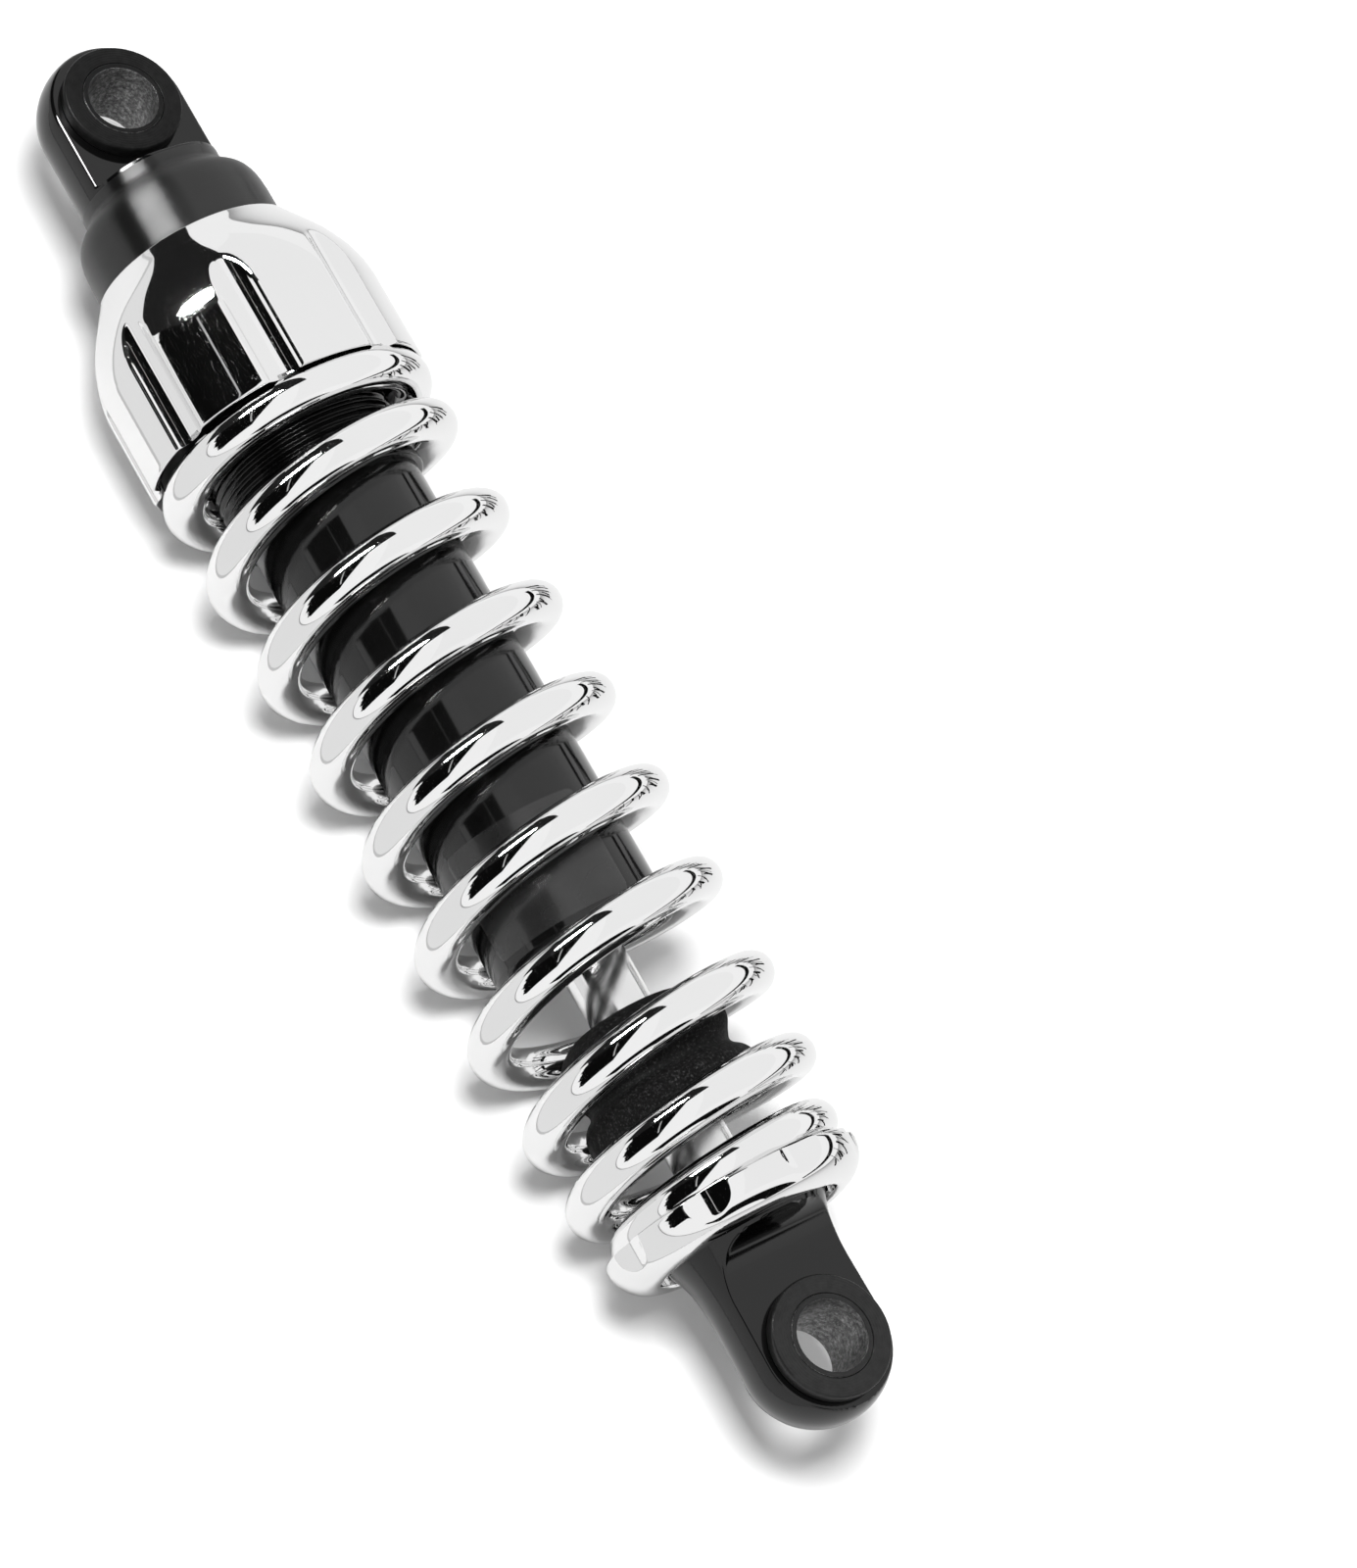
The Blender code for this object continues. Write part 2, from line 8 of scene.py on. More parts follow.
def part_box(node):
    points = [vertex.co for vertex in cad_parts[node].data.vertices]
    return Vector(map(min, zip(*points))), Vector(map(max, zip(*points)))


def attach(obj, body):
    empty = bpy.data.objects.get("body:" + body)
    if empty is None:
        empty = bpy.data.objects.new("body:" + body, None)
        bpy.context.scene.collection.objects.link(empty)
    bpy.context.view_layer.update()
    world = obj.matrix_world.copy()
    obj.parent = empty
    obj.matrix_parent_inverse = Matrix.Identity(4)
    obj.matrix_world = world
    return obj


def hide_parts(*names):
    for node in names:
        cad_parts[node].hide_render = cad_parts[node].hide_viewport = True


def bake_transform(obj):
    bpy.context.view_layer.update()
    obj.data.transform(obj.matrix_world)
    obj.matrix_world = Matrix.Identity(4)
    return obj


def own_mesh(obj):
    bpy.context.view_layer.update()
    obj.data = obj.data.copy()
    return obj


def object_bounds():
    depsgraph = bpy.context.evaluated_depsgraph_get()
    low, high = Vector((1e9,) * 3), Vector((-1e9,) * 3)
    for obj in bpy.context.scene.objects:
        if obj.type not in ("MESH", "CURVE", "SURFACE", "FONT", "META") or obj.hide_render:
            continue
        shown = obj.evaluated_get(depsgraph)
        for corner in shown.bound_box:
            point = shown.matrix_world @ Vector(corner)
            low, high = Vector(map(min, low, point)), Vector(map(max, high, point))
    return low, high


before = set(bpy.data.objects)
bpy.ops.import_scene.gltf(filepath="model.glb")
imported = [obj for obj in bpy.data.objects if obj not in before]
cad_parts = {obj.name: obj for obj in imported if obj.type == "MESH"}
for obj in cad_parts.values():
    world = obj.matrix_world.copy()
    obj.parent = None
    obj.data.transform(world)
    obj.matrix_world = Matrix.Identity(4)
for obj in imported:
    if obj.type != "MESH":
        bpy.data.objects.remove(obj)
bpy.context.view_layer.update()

MM = 0.001

# ---------------------------------------------------------------- sizes, in millimetres
# X runs along the damper from the upper eye, and the eye bores run along Z.
EYE_TO_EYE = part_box("lower_sleeve")[0][0] * 500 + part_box("lower_sleeve")[1][0] * 500
BORE_R = 7.94  # bolt hole of the steel sleeves
SLEEVE_R = 9.2
FLANGE_R = 13.6  # flange of the bushes
FACE_Z = 9.8  # end faces of the sleeves
FLAT_Z = 6.6  # milled flats of the eyes
BUSH_HOLE_R = 12.0
UPPER_BAR_R = 17.0
LOWER_BAR_R = 16.4
COLLAR_R = 22.6
COLLAR_END = 39.9
TUBE_START = 46.0
TUBE_R = 20.7
TUBE_BORE_R = 18.2
TUBE_END = 218.5
THREAD_R = 22.4
THREAD_PITCH = 2.0
THREAD_DEPTH = 0.95
THREAD_START = 40.05
THREAD_END = 103.3
ROD_R = 7.5
CAP_R = 33.8
CAP_TOP = 39.6
CAP_END = 84.4
FLUTES = 8
FLUTE_FIRST = radians(110.3)
WIRE_R = 4.75
COIL_PHASE = radians(32)
SPLIT_TURN = 1.5  # where the coil's upper piece ends and its lower piece starts
STOP_TOP = 236.3
STOP_FOOT = 261.5
PERCH_R = 29.8
PERCH_RIM = 281.0
NOTCHES = 8
NOTCH_FIRST = radians(127)
FINE_SIDES = 480  # round the upper head, the preload cap and the perch
NO_FLAT = 99.0  # half thickness where the bar isn't milled
NO_WALL = 1e3  # distance of a tool's wall where the tool doesn't reach


# ---------------------------------------------------------------- mesh helpers
def link(name, verts, faces, mat, body, replaced=(), angle=34):
    """Makes a piece from points in millimetres, shades it smooth and puts it on its body.

    Edges sharper than angle, in degrees, stay sharp."""
    mesh = bpy.data.meshes.new(name)
    mesh.from_pydata([(x * MM, y * MM, z * MM) for x, y, z in verts], [], faces)
    work = bmesh.new()
    work.from_mesh(mesh)
    bmesh.ops.recalc_face_normals(work, faces=work.faces)
    work.to_mesh(mesh)
    work.free()
    for poly in mesh.polygons:
        poly.use_smooth = True
    mesh.set_sharp_from_angle(angle=radians(angle))
    obj = bpy.data.objects.new(name, mesh)
    bpy.context.scene.collection.objects.link(obj)
    if mat:
        mesh.materials.append(mat)
    if body:
        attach(obj, body)
    if replaced:
        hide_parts(*replaced)
    return obj


def rounded(corners, steps=5, closed=True):
    """Rounds each (x, r, radius) corner of a turned outline with a small curve."""
    n = len(corners)
    points = []
    for i, (x, r, radius) in enumerate(corners):
        here = Vector((x, r))
        if radius <= 0 or (not closed and i in (0, n - 1)):
            points.append((x, r))
            continue
        back = Vector(corners[i - 1][:2]) - here
        ahead = Vector(corners[(i + 1) % n][:2]) - here
        angle = back.angle(ahead)
        straight = angle >= pi - 1e-3
        slope = 1e6 if straight else max(1e-6, abs(sin(angle / 2) / cos(angle / 2)))
        reach = min(radius / slope, back.length * 0.49, ahead.length * 0.49)
        a, b = here + back.normalized() * reach, here + ahead.normalized() * reach
        for k in range(steps + 1):
            t = k / steps
            p = a * (1 - t) ** 2 + here * 2 * t * (1 - t) + b * t * t
            points.append((p.x, p.y))
    return points


def through(knots, steps):
    """A smooth open curve (Catmull-Rom) through (x, r) knots."""
    k = [Vector(p) for p in knots]
    k = [k[0] * 2 - k[1]] + k + [k[-1] * 2 - k[-2]]
    out = []
    for i in range(1, len(k) - 2):
        for j in range(steps):
            t = j / steps
            p = 0.5 * ((2 * k[i]) + (k[i + 1] - k[i - 1]) * t
                       + (2 * k[i - 1] - 5 * k[i] + 4 * k[i + 1] - k[i + 2]) * t * t
                       + (3 * k[i] - k[i - 1] - 3 * k[i + 1] + k[i + 2]) * t ** 3)
            out.append((p.x, p.y))
    out.append((k[-2].x, k[-2].y))
    return out


def eased(points, passes=40):
    """Evens out an outline's curvature, leaving its two ends in place."""
    for _ in range(passes):
        inside = [((a[0] + 2 * b[0] + c[0]) / 4, (a[1] + 2 * b[1] + c[1]) / 4)
                  for a, b, c in zip(points, points[1:], points[2:])]
        points = [points[0], *inside, points[-1]]
    return points


def revolve(stations, sides, shape=None, closed=True):
    """Points and faces of a surface turned about the X axis, through (x, r) stations.

    shape(x, r, angle, k) gives the point of station k at that angle, if it isn't on the circle."""
    verts, rings, faces = [], [], []
    for k, (x, r) in enumerate(stations):
        if r < 1e-5:
            rings.append([len(verts)] * sides)
            verts.append((x, 0.0, 0.0))
            continue
        rings.append(list(range(len(verts), len(verts) + sides)))
        for i in range(sides):
            a = tau * i / sides
            verts.append(shape(x, r, a, k) if shape else (x, r * cos(a), r * sin(a)))
    pairs = list(zip(rings, rings[1:]))
    if closed:
        pairs.append((rings[-1], rings[0]))
    for one, two in pairs:
        for i in range(sides):
            j = (i + 1) % sides
            face = list(dict.fromkeys((one[i], one[j], two[j], two[i])))
            if len(face) > 2:
                faces.append(face)
    return verts, faces


def turned(name, corners, mat, body, replaced, sides=128, steps=5):
    """A turned piece about the damper's axis: corners are (x, r, rounding)."""
    verts, faces = revolve(rounded(corners, steps), sides)
    return link(name, verts, faces, mat, body, replaced)


def about_bore(name, centre, corners, mat, body, replaced):
    """A turned piece about an eye's bore: corners are (z, r, rounding)."""
    verts, faces = revolve(rounded(corners, 4), 96)
    verts = [(centre + y, z, x) for x, y, z in verts]
    return link(name, verts, faces, mat, body, replaced)


def soft_min(a, b, width):
    """The smaller of two sizes, with the change from one to the other rounded off."""
    h = max(0.0, width - abs(a - b)) / width
    return min(a, b) - h * h * width * 0.25


def bored(obj, centre, radius):
    """Cuts the bush's hole through an eyelet and keeps the result as the piece's own mesh."""
    reach = 30
    outline = [(-reach, 0), (-reach, radius), (reach, radius), (reach, 0)]
    verts, faces = revolve(outline, 96, closed=False)
    verts = [(centre + y, z, x) for x, y, z in verts]
    tool = link("hole_tool", verts, faces, None, None)
    step = obj.modifiers.new("hole", "BOOLEAN")
    step.operation = "DIFFERENCE"
    step.object = tool
    graph = bpy.context.evaluated_depsgraph_get()
    cut = bpy.data.meshes.new_from_object(obj.evaluated_get(graph))
    obj.modifiers.clear()
    obj.data = cut
    cut.set_sharp_from_angle(angle=radians(34))
    bpy.data.objects.remove(tool, do_unlink=True)


def tool_wall(distance, radius, angle):
    """How far from the damper's axis a round tool's near wall lies.

    The tool's own axis is at distance, and the wall is looked for angle away from it."""
    reach = radius * radius - (distance * sin(angle)) ** 2
    if reach <= 0 or cos(angle) <= 0:
        return NO_WALL
    return distance * cos(angle) - sqrt(reach)


def nearest(angle, first, count):
    """The angle from the nearest of count directions spaced evenly from first."""
    step = tau / count
    return (angle - first + step / 2) % step - step / 2


# ---------------------------------------------------------------- materials
def nodes_of(mat):
    tree = mat.node_tree
    return tree.nodes, tree.links, tree.nodes["Principled BSDF"]


def finish(name, colour, metallic, roughness, coat=0.0, specular=0.5, ior=1.5):
    """A material with constants on the shader's own sockets, for the textures to build on."""
    mat = bpy.data.materials.new(name)
    mat.use_nodes = True
    shader = mat.node_tree.nodes["Principled BSDF"]
    values = {
        "Base Color": (*colour, 1), "Metallic": metallic, "Roughness": roughness,
        "Coat Weight": coat, "Specular IOR Level": specular, "IOR": ior,
    }
    for socket, value in values.items():
        shader.inputs[socket].default_value = value
    return mat


def noise(mat, scale, detail, stretch=(1, 1, 1), rough=0.5, seed=0.0):
    """A noise texture in the object's own space."""
    n, l, _ = nodes_of(mat)
    where = n.new("ShaderNodeTexCoord")
    place = n.new("ShaderNodeMapping")
    place.inputs["Scale"].default_value = stretch
    place.inputs["Location"].default_value = (seed, seed * 0.7, seed * 0.3)
    tex = n.new("ShaderNodeTexNoise")
    tex.inputs["Scale"].default_value = scale
    tex.inputs["Detail"].default_value = detail
    tex.inputs["Roughness"].default_value = rough
    l.new(where.outputs["Object"], place.inputs["Vector"])
    l.new(place.outputs["Vector"], tex.inputs["Vector"])
    return tex.outputs["Fac"]


def ramp(mat, source, stops):
    """A colour ramp: stops are (position, grey level)."""
    n, l, _ = nodes_of(mat)
    node = n.new("ShaderNodeValToRGB")
    node.color_ramp.elements.remove(node.color_ramp.elements[0])
    for i, (at, value) in enumerate(stops):
        e = node.color_ramp.elements[0] if i == 0 else node.color_ramp.elements.new(at)
        e.position = at
        e.color = (value, value, value, 1)
    l.new(source, node.inputs["Fac"])
    return node.outputs["Color"]


def rough_from(mat, source, low, high):
    """Roughness that goes from low to high with source."""
    n, l, shader = nodes_of(mat)
    node = n.new("ShaderNodeMapRange")
    node.inputs["From Min"].default_value = 0.3
    node.inputs["From Max"].default_value = 0.7
    node.inputs["To Min"].default_value = low
    node.inputs["To Max"].default_value = high
    l.new(source, node.inputs["Value"])
    l.new(node.outputs["Result"], shader.inputs["Roughness"])


def bump_from(mat, source, strength, distance):
    """Adds a bump on top of any that the material has."""
    n, l, shader = nodes_of(mat)
    node = n.new("ShaderNodeBump")
    node.inputs["Strength"].default_value = strength
    node.inputs["Distance"].default_value = distance
    if shader.inputs["Normal"].links:
        l.new(shader.inputs["Normal"].links[0].from_socket, node.inputs["Normal"])
    l.new(source, node.inputs["Height"])
    l.new(node.outputs["Normal"], shader.inputs["Normal"])


def colour_from(mat, source):
    _, l, shader = nodes_of(mat)
    l.new(source, shader.inputs["Base Color"])


def make_chrome(name, tone=0.86, wobble=0.02, haze=0.018):
    """Bright plating: faint orange peel, fine scratches, and haze that changes over the surface."""
    mat = finish(name, (tone, tone, tone), 1.0, 0.03)
    n, l, shader = nodes_of(mat)
    rough_from(mat, noise(mat, 60, 4, seed=1), haze, haze * 2.5)
    polish = shader.inputs["Roughness"].links[0].from_socket
    lines = noise(mat, 170, 1, stretch=(1.0, 9.0, 9.0), rough=0.3, seed=31)
    scratch = ramp(mat, lines, [(0.0, 0.0), (0.492, 0.0), (0.5, 0.2), (0.508, 0.0)])
    worst = n.new("ShaderNodeMath")
    worst.operation = "MAXIMUM"
    l.new(polish, worst.inputs[0])
    l.new(scratch, worst.inputs[1])
    l.new(worst.outputs["Value"], shader.inputs["Roughness"])
    colour_from(mat, ramp(mat, noise(mat, 25, 5, seed=4), [(0.3, tone * 0.97), (0.7, tone)]))
    bump_from(mat, noise(mat, 130, 2, seed=9), wobble, 0.0004)
    return mat


def make_black(name, tone, roughness, haze, turning=0.0, ior=1.5):
    """Hard black anodise: a little uneven in gloss. turning is the depth of its lathe marks."""
    mat = finish(name, (tone, tone, tone), 0.0, roughness, ior=ior)
    rough_from(mat, noise(mat, 45, 5, seed=3), roughness, roughness + haze)
    mottle = noise(mat, 80, 6, rough=0.7, seed=5)
    colour_from(mat, ramp(mat, mottle, [(0.3, tone * 0.8), (0.75, tone * 1.6)]))
    if turning:
        bump_from(mat, noise(mat, 3500, 2, stretch=(1, 0.004, 0.004), seed=2), turning, 0.0001)
    bump_from(mat, noise(mat, 500, 4, rough=0.6, seed=13), 0.03, 0.0001)
    return mat


CHROME = make_chrome("chrome_plate")
SPRING_CHROME = make_chrome("spring_chrome", tone=0.87, wobble=0.012)
ROD_CHROME = make_chrome("rod_chrome", tone=0.82, wobble=0.01, haze=0.09)
HEAD_BLACK = make_black("head_anodise", 0.002, 0.05, haze=0.03, ior=1.46)
COLLAR_BLACK = make_black("collar_anodise", 0.002, 0.33, haze=0.04, turning=0.2, ior=1.6)
TUBE_BLACK = make_black("tube_anodise", 0.003, 0.07, haze=0.05, turning=0.06)
THREAD_BLACK = make_black("thread_anodise", 0.001, 0.08, haze=0.04, ior=1.38)
EYE_BLACK = make_black("eyelet_paint", 0.001, 0.08, haze=0.05, ior=1.48)


def brush(mat):
    """Turned marks round the damper's axis, so that a light draws out into a streak along it."""
    n, l, shader = nodes_of(mat)
    marks = n.new("ShaderNodeTangent")
    marks.direction_type = "RADIAL"
    marks.axis = "X"
    l.new(marks.outputs["Tangent"], shader.inputs["Tangent"])
    shader.inputs["Anisotropic"].default_value = 1.0
    shader.inputs["Anisotropic Rotation"].default_value = 0.25


brush(COLLAR_BLACK)

LABEL = finish("label_film", (0.012, 0.012, 0.012), 0.0, 0.25, coat=0.2)
rough_from(LABEL, noise(LABEL, 70, 4, seed=6), 0.2, 0.32)
bump_from(LABEL, noise(LABEL, 350, 3, seed=7), 0.06, 0.0002)
colour_from(LABEL, ramp(LABEL, noise(LABEL, 120, 5, seed=8), [(0.3, 0.010), (0.7, 0.016)]))

RUBBER = finish("bump_rubber", (0.03, 0.03, 0.03), 0.0, 0.7, specular=0.14)
colour_from(RUBBER, ramp(RUBBER, noise(RUBBER, 1700, 5, rough=0.7, seed=3),
                         [(0.35, 0.002), (0.54, 0.007), (0.66, 0.04), (0.8, 0.14)]))
rough_from(RUBBER, noise(RUBBER, 160, 5, seed=12), 0.55, 0.85)
bump_from(RUBBER, noise(RUBBER, 420, 7, rough=0.7, seed=11), 0.35, 0.0005)

SLEEVE = finish("sleeve_phosphate", (0.1, 0.1, 0.1), 0.6, 0.35)
colour_from(SLEEVE, ramp(SLEEVE, noise(SLEEVE, 900, 8, rough=0.85, seed=2),
                         [(0.38, 0.02), (0.5, 0.12), (0.66, 0.42)]))
rough_from(SLEEVE, noise(SLEEVE, 300, 5, seed=23), 0.3, 0.5)
bump_from(SLEEVE, noise(SLEEVE, 1100, 6, rough=0.7, seed=24), 0.2, 0.0001)

STEEL = finish("bright_steel", (0.4, 0.4, 0.4), 1.0, 0.35)
colour_from(STEEL, ramp(STEEL, noise(STEEL, 700, 8, rough=0.8, seed=2),
                        [(0.35, 0.3), (0.5, 0.42), (0.7, 0.5)]))
rough_from(STEEL, noise(STEEL, 300, 5, seed=21), 0.25, 0.5)
bump_from(STEEL, noise(STEEL, 900, 6, rough=0.7, seed=22), 0.3, 0.0002)


def bush_material(name, centre_x, dark, light, specular):
    """Black moulding with faint lathe marks, concentric about an eye's bore. The upper eye's copy
    is painted darker, as painted shade.
    """
    pitch = 0.62
    mat = finish(name, (0.02, 0.02, 0.02), 0.0, 0.4, specular=specular)
    n, l, _ = nodes_of(mat)
    where = n.new("ShaderNodeTexCoord")
    place = n.new("ShaderNodeMapping")
    place.inputs["Location"].default_value = (-centre_x * MM, 0, 0)
    place.inputs["Scale"].default_value = (1, 1, 0)
    reach = n.new("ShaderNodeVectorMath")
    reach.operation = "LENGTH"
    times = n.new("ShaderNodeMath")
    times.operation = "MULTIPLY"
    times.inputs[1].default_value = tau / (pitch * MM)
    wave = n.new("ShaderNodeMath")
    wave.operation = "SINE"
    l.new(where.outputs["Object"], place.inputs["Vector"])
    l.new(place.outputs["Vector"], reach.inputs[0])
    l.new(reach.outputs["Value"], times.inputs[0])
    l.new(times.outputs["Value"], wave.inputs[0])
    bump_from(mat, wave.outputs["Value"], 0.5, 0.00004)
    mottle = noise(mat, 500, 6, rough=0.7, seed=centre_x)
    colour_from(mat, ramp(mat, mottle, [(0.3, dark), (0.7, light)]))
    rough_from(mat, noise(mat, 90, 4, seed=14), 0.32, 0.46)
    return mat


# Same moulding at both eyes: the upper copy's darker colour, also on the upper sleeve's ends, is
# painted shade.
UPPER_BUSH_SHADED = bush_material("upper_bush_painted_shade", 0.0, dark=0.002, light=0.008, specular=0.12)
LOWER_BUSH = bush_material("lower_bush_moulding", EYE_TO_EYE, dark=0.006, light=0.014,
                           specular=0.28)

ALLOY = finish("turned_alloy", (0.55, 0.55, 0.56), 1.0, 0.3)
rough_from(ALLOY, noise(ALLOY, 300, 4, stretch=(12, 1, 1), seed=15), 0.2, 0.45)
bump_from(ALLOY, noise(ALLOY, 400, 3, stretch=(20, 1, 1), seed=16), 0.15, 0.0001)

PTFE = finish("dark_ptfe", (0.012, 0.012, 0.013), 0.0, 0.4, specular=0.3)
rough_from(PTFE, noise(PTFE, 200, 4, seed=17), 0.3, 0.5)

SEAL = finish("seal_rubber", (0.012, 0.012, 0.012), 0.0, 0.55)
rough_from(SEAL, noise(SEAL, 220, 4, seed=18), 0.45, 0.65)


# ---------------------------------------------------------------- eyes
def flatted(limit, fillet=0.5):
    """Shape function that mills the two flats: limit(k) is the half thickness at station k."""
    def shape(x, r, a, k):
        y, z = r * cos(a), r * sin(a)
        half = limit[k]
        if half < NO_FLAT:
            z = soft_min(abs(z), half, fillet) * (1 if z >= 0 else -1)
        return x, y, z
    return shape


def upper_head():
    """The eyelet with its flats, then the shoulder, the neck, the collar and the tube's plug."""
    stations, limit = [], []
    flats_end, foot, edge, collar_from = 18.0, 0.9, 0.7, 18.7
    plug_r, plug_end = 18.1, 54.0

    def put(x, r, half=NO_FLAT):
        stations.append((x, r))
        limit.append(half)

    for k in range(31):
        a = radians(3 * k)
        put(-UPPER_BAR_R * cos(a), UPPER_BAR_R * sin(a), FLAT_Z)
    for k in range(1, 18):
        put(k * 1.0, UPPER_BAR_R, FLAT_Z)
    for k in range(7):
        a = radians(15 * k)
        put(flats_end - foot + foot * sin(a), UPPER_BAR_R, FLAT_Z + foot * (1 - cos(a)))
    low, high, wall = FLAT_Z + foot, UPPER_BAR_R - edge, flats_end + 0.02
    for k in range(1, 9):
        put(wall, UPPER_BAR_R, low + (high - low) * k / 8)
    for k in range(1, 6):
        a = radians(18 * k)
        put(wall + edge * (1 - cos(a)), UPPER_BAR_R, high + 0.9 * sin(a))
    put(19.5, UPPER_BAR_R)
    neck = through([(20.6, UPPER_BAR_R), (21.4, 17.08), (22.3, 17.6), (23.2, 18.6), (24.4, 20.0),
                    (25.6, 21.05), (27.0, 21.75), (28.6, 22.2), (30.4, 22.45),
                    (33.0, COLLAR_R)], 4)
    for x, r in neck:
        put(x, r)
    for x in (34.5, 36.5, 38.5, 39.4):
        put(x, COLLAR_R)
    put(COLLAR_END - 0.15, COLLAR_R - 0.1)
    put(COLLAR_END, COLLAR_R - 0.5)
    put(COLLAR_END, 19.0)
    put(50.0, plug_r)
    put(plug_end, plug_r)
    put(plug_end, 0.0)
    verts, faces = revolve(stations, FINE_SIDES, flatted(limit, 1.3), closed=False)
    obj = link("upper_head", verts, faces, HEAD_BLACK, "damper_body",
               ("body_head",))
    bored(obj, 0.0, BUSH_HOLE_R)
    obj.data.materials.append(COLLAR_BLACK)
    for poly in obj.data.polygons:
        poly.material_index = int(poly.center.x > collar_from * MM)


def lower_eye():
    """The socket for the rod, the flange in the perch, the neck and the eyelet with its flats."""
    stations, limit = [], []
    flats_from, sweep_top, sweep = 303.0, 290.4, 12.0

    def put(x, r, half=NO_FLAT):
        stations.append((x, r))
        limit.append(half)

    for x, r in ((296.5, 6.15), (285.0, 6.15), (285.0, 16.4), (285.4, 16.8), (287.6, 16.8),
                 (287.7, 18.9), (287.85, 19.3)):
        put(x, r)
    neck = through([(288.2, 19.35), (289.5, 18.7), (292.0, 17.6), (295.0, 16.75), (299.0, 16.3),
                    (303.0, 16.2), (308.0, 16.25), (EYE_TO_EYE, LOWER_BAR_R)], 7)
    for x, r in neck:
        if x >= flats_from:
            half = FLAT_Z
        elif x > sweep_top:
            t = (flats_from - x) / (flats_from - sweep_top)
            half = FLAT_Z + sweep * (1 - sqrt(max(0.0, 1 - t * t)))
        else:
            half = NO_FLAT
        put(x, r, half)
    for k in range(1, 31):
        a = radians(3 * k)
        r = LOWER_BAR_R * cos(a) if k < 30 else 0.0
        put(EYE_TO_EYE + LOWER_BAR_R * sin(a), r, FLAT_Z)
    verts, faces = revolve(stations, 384, flatted(limit), closed=False)
    obj = link("lower_eye", verts, faces, EYE_BLACK, "rod_assembly",
               ("lower_eyelet",))
    bored(obj, EYE_TO_EYE, BUSH_HOLE_R)


def eye_fittings(side, centre, body, mat):
    """The bolt sleeve and the two bush halves of one eye. The sleeve ends match the bushes."""
    sleeve = [
        (-FACE_Z, BORE_R, 0.45), (-FACE_Z, SLEEVE_R, 0.25),
        (FACE_Z, SLEEVE_R, 0.25), (FACE_Z, BORE_R, 0.45),
    ]
    tube = about_bore(f"{side}_bolt_sleeve", centre, sleeve, SLEEVE, f"{side}_pin_sleeve",
                      (f"{side}_sleeve",))
    tube.data.materials.append(mat)
    for poly in tube.data.polygons:
        poly.material_index = int(abs(poly.normal.z) > 0.6)
    bore, barrel = SLEEVE_R + 0.1, BUSH_HOLE_R - 0.1
    under, face = FLAT_Z + 0.03, FACE_Z - 0.05
    half = [
        (0.2, bore, 0), (0.2, barrel, 0.2), (under, barrel, 0.1),
        (under, FLANGE_R, 0.3), (face, FLANGE_R, 0.75), (face, bore, 0.3),
    ]
    for sign, tag in ((1, "front"), (-1, "back")):
        about_bore(f"{side}_{tag}_bush", centre, [(z * sign, r, c) for z, r, c in half], mat, body,
                   (f"{side}_bush_{tag}",))


# ---------------------------------------------------------------- body, thread and clip
def threaded_sleeve():
    """Sleeve with a helical thread: crest and root flats joined by straight flanks."""
    lead, per_turn = 0.05, 12
    length = THREAD_END - THREAD_START
    count = int(length / THREAD_PITCH * per_turn)
    bore, step_r, step_x = TUBE_R + 0.1, 21.2, TUBE_START + 0.1
    stations = [(step_x, bore), (step_x, step_r), (THREAD_START, step_r),
                (THREAD_START, THREAD_R - 0.6)]
    first = len(stations)
    stations += [(THREAD_START + lead + (length - 2 * lead) * k / count, THREAD_R)
                 for k in range(count + 1)]
    last = len(stations)
    stations += [(THREAD_END, THREAD_R - 0.7), (THREAD_END, bore)]

    def shape(x, r, a, k):
        if first <= k < last:
            phase = (x / THREAD_PITCH - a / tau) % 1.0
            r = THREAD_R - THREAD_DEPTH * min(1.0, max(0.0, (abs(phase - 0.5) * 2 - 0.1) / 0.8))
            r -= 0.5 * max(0.0, 1 - (THREAD_END - x) / 0.6)
        return x, r * cos(a), r * sin(a)

    verts, faces = revolve(stations, 120, shape)
    link("thread_tube", verts, faces, THREAD_BLACK, "damper_body",
         ("threaded_sleeve",), 50)


def clip_and_tube():
    bore, rim, start, end = TUBE_R + 0.08, 22.2, 103.5, 105.8
    turned("clip_ring", [(start, bore, 0), (start, rim, 0.5), (end, rim, 0.7), (end, bore, 0)],
           THREAD_BLACK, "damper_body", ("sleeve_clip",))
    groove_end, groove_start, groove_r = TUBE_END - 2.2, TUBE_END - 3.8, 19.1
    outline = [
        (TUBE_START, TUBE_BORE_R, 0), (TUBE_START, TUBE_R, 0.3),
        (TUBE_END - 1.4, TUBE_R, 0.6), (TUBE_END - 0.1, TUBE_R - 0.9, 0.5),
        (TUBE_END, 19.0, 0.3), (TUBE_END, TUBE_BORE_R, 0.2),
        (groove_end, TUBE_BORE_R, 0), (groove_end, groove_r, 0),
        (groove_start, groove_r, 0), (groove_start, TUBE_BORE_R, 0),
    ]
    turned("damper_tube", outline, TUBE_BLACK, "damper_body",
           ("body_tube",), 160)


